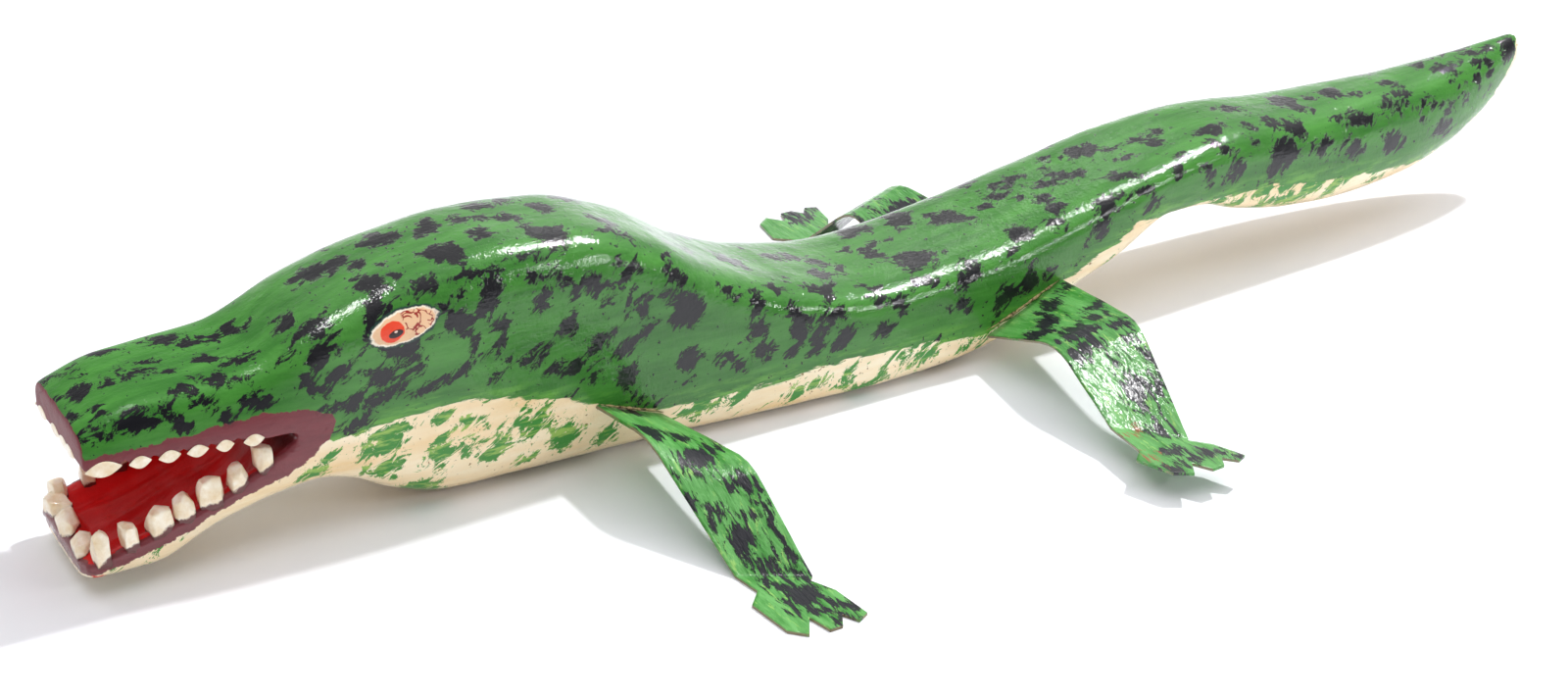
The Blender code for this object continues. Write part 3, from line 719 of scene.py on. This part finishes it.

    # maroon lips, then the red inside, darkened by painted shade towards the corner of the mouth
    isLip = tornMask(tree, "lipInside", strays["lip"], -0.2, 0.2)
    twoMaroons = {"Factor": noises["thin"], "A": srgb("#5d2028"), "B": srgb("#84353c")}
    maroon = add(tree, "Mix", twoMaroons, **asColour)
    colour = add(tree, "Mix", {"Factor": isLip, "A": colour, "B": maroon}, **asColour)
    isRed = tornMask(tree, "redInside", strays["lip"], -0.3, 0.3)
    twoReds = {"Factor": noises["streak"], "A": srgb("#b20b10"), "B": srgb("#ea1a1b")}
    red = add(tree, "Mix", twoReds, **asColour)
    # painted shade deep in the corner of the mouth
    red = add(tree, "Mix", {"Factor": masks["deep"], "A": red, "B": srgb("#2b0508")}, **asColour)
    colour = add(tree, "Mix", {"Factor": isRed, "A": colour, "B": red}, **asColour)

    # the eye: peach almond with a white rim, orange-red iris in its front third, a black smear
    # for the pupil with a painted highlight as its glint, dark red veins behind
    vein = add(tree, "Math", {0: noises["vein"], 1: 0.5, 2: 0.032}, operation="COMPARE")
    veins = add(tree, "Math", {0: vein, 1: masks["behind"]}, operation="MULTIPLY")
    flesh = {"Factor": veins, "A": srgb("#f3c79c"), "B": srgb("#a02a22")}
    flesh = add(tree, "Mix", flesh, **asColour)
    for centre, size, hue in (
        ((0, 0, 0), (eye["long"] + 0.9, eye["high"] + 0.9, 1), srgb("#1d3b33")),  # lid
        ((0, 0, 0), (eye["long"], eye["high"], 1), srgb("#fff3df")),  # white
        ((0.2, 0, 0), (eye["long"] - 0.8, eye["high"] - 0.6, 1), flesh),
        ((-5.0, -0.2, 0), (5.0, 4.0, 1), srgb("#ee4727")),  # iris
        ((-3.9, -1.4, 0), (3.0, 1.5, 1), srgb("#220d10")),  # pupil
        # a painted highlight standing in for the glint
        ((-3.6, -0.6, 0), (0.7, 0.4, 1), srgb("#f2d8c8")),  # glint
    ):
        moved = add(tree, "VectorMath", {0: flat, 1: centre}, operation="SUBTRACT")
        scaled = add(tree, "VectorMath", {0: moved, 1: size}, operation="DIVIDE")
        radius = add(tree, "VectorMath", {0: scaled}, out="Value", operation="LENGTH")
        ragged = {0: noises["speck"], 1: 0.3, 2: radius}
        ragged = add(tree, "Math", ragged, operation="MULTIPLY_ADD")
        inside = add(tree, "MapRange", {"Value": ragged, "From Min": 1.18, "From Max": 1.12})
        colour = add(tree, "Mix", {"Factor": inside, "A": colour, "B": hue}, **asColour)

    # relief: brush ridges along the stroke, a fine orange peel and pits that break the light into
    # sparkles, and the edge of each dab standing up
    height = noises["lump"]
    for layer, share in (
        (noises["ridge"], 0.28), (noises["peel"], 0.3), (noises["pit"], 0.1), (black, 0.14),
    ):
        height = add(tree, "Math", {0: layer, 1: share, 2: height}, operation="MULTIPLY_ADD")
    bump = add(tree, "Bump", {"Height": height, "Strength": 0.9, "Distance": 0.6 * mm})
    # the red inside and the snout have soaked up most of their varnish
    dull = add(tree, "Math", {0: isRed, 1: 0.75}, operation="MULTIPLY")
    varnish = add(tree, "Attribute", attribute_name="varnish", out="Fac")
    wet = add(tree, "Math", {0: varnish, 1: dull}, operation="SUBTRACT", use_clamp=True)
    wire(tree, shader, {
        "Base Color": colour, "Normal": bump, "Coat Normal": bump, "Coat Weight": wet,
        "Roughness": 0.5, "Specular IOR Level": 0.14, "Coat Roughness": 0.02, "Coat IOR": 1.5,
    })
    return material


alligator = newPiece("carvedBody", carved, brushPaint())
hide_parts("body")


# The teeth: whittled blocks on the lower jaw's rim, and flat painted lenses on the upper lip
teeth = {
    "thickness": 8, "setback": 0.4, "root": 3, "seenShare": 0.92, "topSeen": 0.4, "fromTip": 5,
    "farCornerCut": 4.5, "play": 1.2, "lengthPlay": (0.9, 1.08), "turnPlay": 0.2,
    "frontAt": (13, -5, -20), "frontThickness": 8, "frontSetback": 0.8, "frontRoot": 6,
    "frontTall": 10, "frontShare": 0.75,
    "upperHigh": 4, "upperThick": 1, "upperInset": 0.25, "upperFrontLong": 10,
    "upperFrontInset": 0.3, "upperShorter": 1.25, "firstUpperTaller": 1.25, "aboveLip": 0.9,
    # how far up a lower tooth it grows darker towards the root
    "rootDarkTall": 9,  # how far up a lower tooth the brown reaches
}


def toothBlock(bm, centre, size, turn, seed, bulge=0.35, cuts=5):
    # a rounded cube knocked out of true and faceted by a few knife cuts
    rng = random.Random(seed)
    before = len(bm.verts)
    made = bmesh.ops.create_cube(bm, size=2)["verts"]
    # each edge once, in the order met
    edges = list(dict.fromkeys(edge for vert in made for edge in vert.link_edges))
    bmesh.ops.subdivide_edges(bm, edges=edges, cuts=9, use_grid_fill=True)
    planes = []
    for _ in range(cuts):
        way = Vector((rng.uniform(-1, 1), rng.uniform(-1, 1), rng.uniform(0, 0.7))).normalized()
        planes.append((way, rng.uniform(0.92, 1.08)))
    for vert in list(bm.verts)[before:]:
        p = vert.co.lerp(vert.co.normalized() * 1.2, bulge)
        if cuts:
            p += noise.noise_vector(p * 1.1 + Vector((seed, seed * 2, 0))) * 0.14
        for way, far in planes:
            p -= way * max(0, p.dot(way) - far)
        if not cuts:
            # a painted lens, pointed at both ends
            p.z *= 1.1 - 0.5 * (p.y if size[1] > size[0] else p.x) ** 2
        p = Vector((p.x * size[0] / 2, p.y * size[1] / 2, p.z * size[2] / 2))
        p.rotate(Matrix.Rotation(turn, 3, "Z"))
        vert.co = (centre + p) * mm


def perPixelAt(spot):
    return (Vector(spot) * mm - Vector(camera["place"])).length / mm / camera["focalPixels"]


def lowerTeeth():
    rng = random.Random(5)
    bm = bmesh.new()
    thickness, play, twist = teeth["thickness"], teeth["play"], teeth["turnPlay"]
    inset = teeth["setback"] + thickness / 2
    for k, (px, py, wide, high) in enumerate(teethSeen["lowerSide"]):
        along1, up1 = sideSpot(px, py, inset)
        along1 = max(along1, tip + teeth["setback"] + teeth["fromTip"])
        x1 = halfWidth(along1) - inset
        perPixel = perPixelAt((x1, along1, up1))
        longWay = (teeth["seenShare"] * wide * perPixel - lookRight.x * thickness) / lookRight.y
        tall = (high * perPixel - teeth["topSeen"] * thickness) / lookUp.z
        base = float(lowerLip(along1)) - teeth["root"]
        tall += teeth["root"]
        for sideSign in (1, -1):
            if k == 0 and sideSign < 0:
                tall -= teeth["farCornerCut"]  # the far corner one is cut lower
            shift = 0 if sideSign > 0 else rng.uniform(-play, play)
            stretch = 1 if sideSign > 0 else rng.uniform(*teeth["lengthPlay"])
            size = (thickness, longWay * stretch, tall)
            centre = Vector((sideSign * x1, along1 + shift, base + tall / 2))
            toothBlock(bm, centre, size, rng.uniform(-twist, twist), k * 3 + sideSign + 7)
    y1 = tip + teeth["frontSetback"] + teeth["frontThickness"] / 2
    base = float(lowerLip(y1)) - teeth["frontRoot"]
    for k, (across1, wide) in enumerate(zip(teeth["frontAt"], teethSeen["lowerFront"])):
        centre = Vector((across1, y1, base + teeth["frontTall"] / 2))
        longWay = wide * perPixelAt(centre) / lookRight.x * teeth["frontShare"]
        size = (longWay, teeth["frontThickness"], teeth["frontTall"])
        toothBlock(bm, centre, size, rng.uniform(-twist, twist), k * 5 + 60)
    return meshFrom("lowerTeeth", bm)


def upperTeeth():
    bm = bmesh.new()
    thick, lift = teeth["upperThick"], teeth["aboveLip"]
    for k, (start, end) in enumerate(ends):
        middle = (start + end) / 2
        high = teeth["upperHigh"] * (teeth["firstUpperTaller"] if k == 0 else 1)
        out = halfWidth(middle) - teeth["upperInset"]
        for sideSign in (1, -1):
            centre = Vector((sideSign * out, middle, upperLip(middle) + lift))
            lean = sideSign * math.atan2(halfWidth(end) - halfWidth(start), end - start)
            size = (thick, (end - start) / teeth["upperShorter"], high)
            toothBlock(bm, centre, size, -lean, k, bulge=1, cuts=0)
    seen = [frontSpot(px, py, mouth["setback"])[0] for px, py in teethSeen["upperFront"]]
    frontY = tip + mouth["setback"] + teeth["upperFrontInset"]
    for across1 in sorted({round(v, 1) for v in seen} | {round(-min(seen, key=abs), 1)}):
        centre = Vector((across1, frontY, upperLip(tip) + lift))
        toothBlock(
            bm, centre, (teeth["upperFrontLong"], thick, teeth["upperHigh"]), 0, 3, bulge=1, cuts=0
        )
    return meshFrom("upperTeeth", bm)


def toothPaint():
    # cream gloss over raw wood, darker towards the root in a mottled brown
    material, tree, shader, inMm = newPaint("creamGlossPaintOnTeeth")
    mottle = add(tree, "TexNoise", {"Vector": inMm, "Scale": 1 / 5, "Detail": 5, "Roughness": 0.6})
    cream = add(tree, "ValToRGB", {"Fac": mottle}, stops=((0.35, "#fff6e2"), (0.72, "#e6cb9c")))
    # darker towards the root of each tooth, in a mottled brown
    low = add(tree, "Attribute", attribute_name="upTooth", out="Fac")
    rootDarkness = add(tree, "Math", {0: mottle, 1: 0.8, 2: low}, operation="MULTIPLY_ADD")
    darkerAtRoot = add(tree, "MapRange", {"Value": rootDarkness, "From Min": 0.50, "From Max": 0.38})
    colour = add(tree, "Mix", {"Factor": darkerAtRoot, "A": cream, "B": srgb("#5b1c18")}, **asColour)
    ridge = add(tree, "TexNoise", {"Vector": inMm, "Scale": 1 / 1.8, "Detail": 3})
    bump = add(tree, "Bump", {"Height": ridge, "Strength": 0.6, "Distance": 0.6 * mm})
    wire(tree, shader, {
        "Base Color": colour, "Normal": bump, "Roughness": 0.4, "Coat Weight": 0.7,
        "Coat Roughness": 0.1,
    })
    return material


print("setting the teeth")
toothMaterial = toothPaint()
lower = lowerTeeth()
heights = readPoints(lower)
store(lower, "upTooth", (heights[:, 2] - lowerLip(heights[:, 1])) / teeth["rootDarkTall"])
upper = upperTeeth()
store(upper, "upTooth", np.full(len(upper.vertices), 0.8))  # too far up for the brown
for name, mesh in (("lowerTeeth", lower), ("upperTeeth", upper)):
    mesh.shade_smooth()
    newPiece(name, mesh, toothMaterial)


# Thin tin sheet cut with snips: brush paint streaked along the strip and crinkled, grey-brown metal
# at the cut edge, a little rust at one ankle.
def legPaint():
    material, tree, shader, inMm = newPaint("brushPaintOnTinSheet")
    streaked = add(tree, "VectorMath", {0: inMm, 1: (0.2, 1, 0.26)}, operation="MULTIPLY")
    # what each noise follows, one over its size in mm, its detail, roughness and distortion
    noises = addRows(tree, "TexNoise", noiseKeys, {
        "streak": (streaked, 1 / 5, 5, 0.7),  # thick and thin paint along the strip
        "thin": (streaked, 1 / 2, 4, 0.7),  # where the brush ran dry
        "tear": (streaked, 1 / 2.4, 6, 0.74, 0.5),  # the torn edges of the dabs
        "ridge": (streaked, 1 / 2.2, 3, 0.6, 0.4),  # brush marks and crinkles
    })
    masks = addRows(tree, "MapRange", rangeKeys, {
        "dry": (noises["thin"], 0.58, 0.66),
        "stray": (noises["tear"], 0.2, 0.8, -10, 10),  # how far a dab's edge strays, in mm
        "fleck": (noises["tear"], 0.66, 0.68),
        "bare": (noises["streak"], 0.40, 0.48),
    })
    green = add(
        tree, "ValToRGB", {"Fac": noises["streak"]}, stops=((0.34, "#2c7d22"), (0.64, "#66ab5a"))
    )
    green = add(tree, "Mix", {"Factor": masks["dry"], "A": green, "B": srgb("#86b95c")}, **asColour)
    black = tornMask(tree, "legDab", masks["stray"], -0.4, 0)
    black = add(tree, "Math", {0: black, 1: masks["fleck"]}, operation="MAXIMUM")
    colour = add(tree, "Mix", {"Factor": black, "A": green, "B": srgb("#14141d")}, **asColour)
    rust = tornMask(tree, "rustDab", masks["stray"], 0.4, 1.2)
    colour = add(tree, "Mix", {"Factor": rust, "A": colour, "B": srgb("#8f5a34")}, **asColour)
    cut = add(tree, "Attribute", attribute_name="cutEdge", out="Fac")
    cut = add(tree, "Math", {0: cut, 1: masks["bare"]}, operation="MULTIPLY")
    colour = add(tree, "Mix", {"Factor": cut, "A": colour, "B": srgb("#857a5e")}, **asColour)
    height = {0: black, 1: 0.22, 2: noises["ridge"]}
    height = add(tree, "Math", height, operation="MULTIPLY_ADD")
    bump = add(tree, "Bump", {"Height": height, "Strength": 1, "Distance": 0.6 * mm})
    # the front legs are duller than the rear ones
    varnish = add(tree, "Attribute", attribute_name="varnish", out="Fac")
    wire(tree, shader, {
        "Base Color": colour, "Normal": bump, "Coat Normal": bump, "Coat Weight": varnish,
        "Roughness": 0.45, "Specular IOR Level": 0.3, "Coat Roughness": 0.04,
    })
    return material


legs = {
    "weld": 0.01, "flat": math.radians(0.5), "longestEdge": 1.7, "crease": math.radians(40),
    "ripple": 0.35, "rippleLength": 17, "rippleFrom": (1.5, 6),  # mm above the floor
    "edgeFacing": 0.7, "toeHeight": 4, "toeFacing": 0.5,  # what counts as a cut edge
    "patchStretch": (0.5, 1, 0.6), "patchLength": 13, "patchDepth": 9, "patchInset": 0.5,
    "frontEnd": -60, "frontVarnish": 0.2,
}


def tinLeg(nodeName, material):
    bm = bmesh.new()
    bm.from_mesh(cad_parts[nodeName].data)
    bmesh.ops.remove_doubles(bm, verts=bm.verts, dist=legs["weld"] * mm)
    bmesh.ops.dissolve_limit(bm, angle_limit=legs["flat"], verts=bm.verts, edges=bm.edges)
    bmesh.ops.triangulate(bm, faces=bm.faces)
    for _ in range(6):
        longEdges = [e for e in bm.edges if e.calc_length() > legs["longestEdge"] * mm]
        bmesh.ops.subdivide_edges(bm, edges=longEdges, cuts=1)
        bmesh.ops.triangulate(bm, faces=bm.faces)
    mesh = meshFrom(nodeName + "Tin", bm)
    # faces square to the sheet are where the snips went
    faceEdge = mesh.attributes.new("cutEdge", "FLOAT", "FACE")
    cut = []
    for face in mesh.polygons:
        atToes = face.center.z < legs["toeHeight"] * mm and abs(face.normal.z) < legs["toeFacing"]
        cut.append(1.0 if abs(face.normal.y) > legs["edgeFacing"] or atToes else 0.0)
    faceEdge.data.foreach_set("value", cut)
    points = readPoints(mesh)
    dabs = dabField(mesh, points, legDabs, 6, mirrored=False)
    if dabs.max() < 0:
        # a far leg: patches of the same kind from noise
        patch = wave(points * legs["patchStretch"], legs["patchLength"], 12)
        dabs = legs["patchDepth"] * patch - legs["patchInset"]
    store(mesh, "legDab", dabs)
    store(mesh, "varnish", np.where(points[:, 1] < legs["frontEnd"], legs["frontVarnish"], 1))
    store(mesh, "rustDab", dabField(mesh, points, rustDabs, 7, mirrored=False))
    ripple = legs["ripple"] * wave(points, legs["rippleLength"], 9)
    points[:, 2] += ripple * ease(points[:, 2], *legs["rippleFrom"])
    writePoints(mesh, points)
    mesh.shade_smooth()
    mesh.set_sharp_from_angle(angle=legs["crease"])
    leg = newPiece(nodeName + "Tin", mesh, material)
    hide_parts(nodeName)


# Raw splintered wood stands up along the top of each saw kerf that a leg is pushed into
kerfs = {
    "lines": (((32.5, 16.3), (72, 31.2)), ((-156.5, 30), (-126.5, 17.8))),
    "radius": 0.75, "steps": 40, "sides": 6, "lift": 0.5, "outside": 90, "sway": 0.4,
}


def kerfLips(mesh):
    tree = BVHTree.FromPolygons([v.co for v in mesh.vertices], [p.vertices for p in mesh.polygons])
    bm = bmesh.new()
    angles = [math.tau / kerfs["sides"] * k for k in range(kerfs["sides"])]
    for start, end in kerfs["lines"]:
        run = Vector((0, end[0] - start[0], end[1] - start[1]))
        upWay = run.normalized().cross(Vector((1, 0, 0)))
        for sideSign in (1, -1):
            rings = []
            for i in range(kerfs["steps"] + 1):
                t = i / kerfs["steps"]
                spot = Vector((sideSign * kerfs["outside"], start[0], start[1] + kerfs["lift"]))
                spot = (spot + run * t) * mm
                spot = tree.ray_cast(spot, Vector((-sideSign, 0, 0)))[0] / mm
                taper = math.sqrt(max(0.02, math.sin(math.pi * t)))
                radius = kerfs["radius"] * taper * (0.9 + 0.8 * noise.noise(spot / 2.3))
                spot += upWay * kerfs["sway"] * noise.noise(spot / 4)
                rings.append([
                    (spot + Vector((radius * math.cos(a), 0, 0)) + upWay * radius * math.sin(a)) * mm
                    for a in angles
                ])
            loft(bm, rings)
    return meshFrom("kerfLips", bm)


def splinterWood():
    # dry tan wood with dark cracks, matt beside the varnish
    material, tree, shader, inMm = newPaint("splinteredRawWood")
    grain = add(tree, "TexNoise", {"Vector": inMm, "Scale": 1 / 2, "Detail": 5, "Roughness": 0.7})
    wood = add(tree, "ValToRGB", {"Fac": grain}, stops=((0.40, "#4a3a22"), (0.56, "#bfa878")))
    wire(tree, shader, {"Base Color": wood, "Roughness": 0.75})
    return material


lips = kerfLips(carved)
lips.shade_smooth()
newPiece("kerfLips", lips, splinterWood())

print("bending the legs")
tinMaterial = legPaint()
for nodeName in ("leg_front_left", "leg_front_right", "leg_rear_left", "leg_rear_right"):
    tinLeg(nodeName, tinMaterial)


# A pale room, white low down and grey overhead, with a dusky side behind the camera. A small key
# light behind the carving throws the shadow and a long low one beside it helps; a ceiling only fills.
# Over, rim and top are seen as reflections alone, which draw the highlights on the gloss paint.
studio = {
    "floor": "#eeeff4", "floorSize": 8, "white": "#ffffff", "high": "#a8a8a8", "dusk": "#757575",
    "surround": 1.08, "darkSide": (0.84, 0.42, 0.34), "duskFrom": (0.70, 0.92),
    "highFrom": (0.05, 0.45), "lens": 63, "sensor": 36, "nearest": 0.05,
    "lights": {  # direction, distance, (wide, high), power, what it does
        "key": ((-0.14, 0.63, 1), 2.4, (0.13, 0.13), 42, "both"),
        "over": ((-0.16, 0.38, 0.91), 2.4, (0.3, 0.22), 15, "gloss"),
        "rim": ((-0.69, 0.41, 0.60), 2.4, (0.22, 0.14), 0.5, "gloss"),
        "top": ((-0.16, -0.19, 0.97), 2.4, (0.36, 0.32), 22, "gloss"),
        "side": ((0.72, 0.50, 0.43), 2.4, (0.7, 0.08), 9, "both"),
        "ceiling": ((0, 0, 1), 3, (4, 4), 70, "fill"),
    },
}


def makeFloor():
    bm = bmesh.new()
    bmesh.ops.create_grid(bm, x_segments=1, y_segments=1, size=studio["floorSize"] / 2)
    floor = newObject("floor", meshFrom("floor", bm))
    material, tree, shader = newMaterial("paleMattFloor")
    wire(tree, shader, {"Base Color": srgb(studio["floor"]), "Roughness": 0.75})
    floor.data.materials.append(material)


def makeLight():
    world = bpy.data.worlds.new("whiteRoom")
    world.use_nodes = True
    tree = world.node_tree
    way = add(tree, "TexCoord", out="Generated")
    towards = Vector(studio["darkSide"]).normalized()
    near = add(tree, "VectorMath", {0: way, 1: towards}, out="Value", operation="DOT_PRODUCT")
    up = add(tree, "SeparateXYZ", {"Vector": way}, out="Z")
    walls = srgb(studio["white"])
    for value, fade, hue in ((up, "highFrom", "high"), (near, "duskFrom", "dusk")):
        inputs = dict(zip(rangeKeys, (value, *studio[fade])))
        shade = add(tree, "MapRange", inputs, interpolation_type="SMOOTHSTEP")
        walls = add(tree, "Mix", {"Factor": shade, "A": walls, "B": srgb(studio[hue])}, **asColour)
    wire(tree, tree.nodes["Background"], {"Color": walls, "Strength": studio["surround"]})
    bpy.context.scene.world = world
    for name, (way, distance, size, power, use) in studio["lights"].items():
        light = bpy.data.lights.new(name, "AREA")
        light.shape = "RECTANGLE"
        light.size, light.size_y = size
        light.energy = power
        lamp = newObject(name, light)
        lamp.location = Vector(way).normalized() * distance
        lamp.rotation_euler = Vector(way).to_track_quat("Z", "Y").to_euler()
        lamp.visible_diffuse = use != "gloss"
        lamp.visible_glossy = use != "fill"


def makeCamera():
    lens = bpy.data.cameras.new("camera")
    lens.lens, lens.sensor_width = studio["lens"], studio["sensor"]
    lens.clip_start = studio["nearest"]
    eyePoint = newObject("camera", lens)
    eyePoint.location = camera["place"]
    eyePoint.rotation_euler = lookAlong.to_track_quat("-Z", "Y").to_euler()
    bpy.context.scene.camera = eyePoint


makeFloor()
makeLight()
makeCamera()
# the photo's whites clip and its greens stay full
bpy.context.scene.view_settings.view_transform = "Standard"
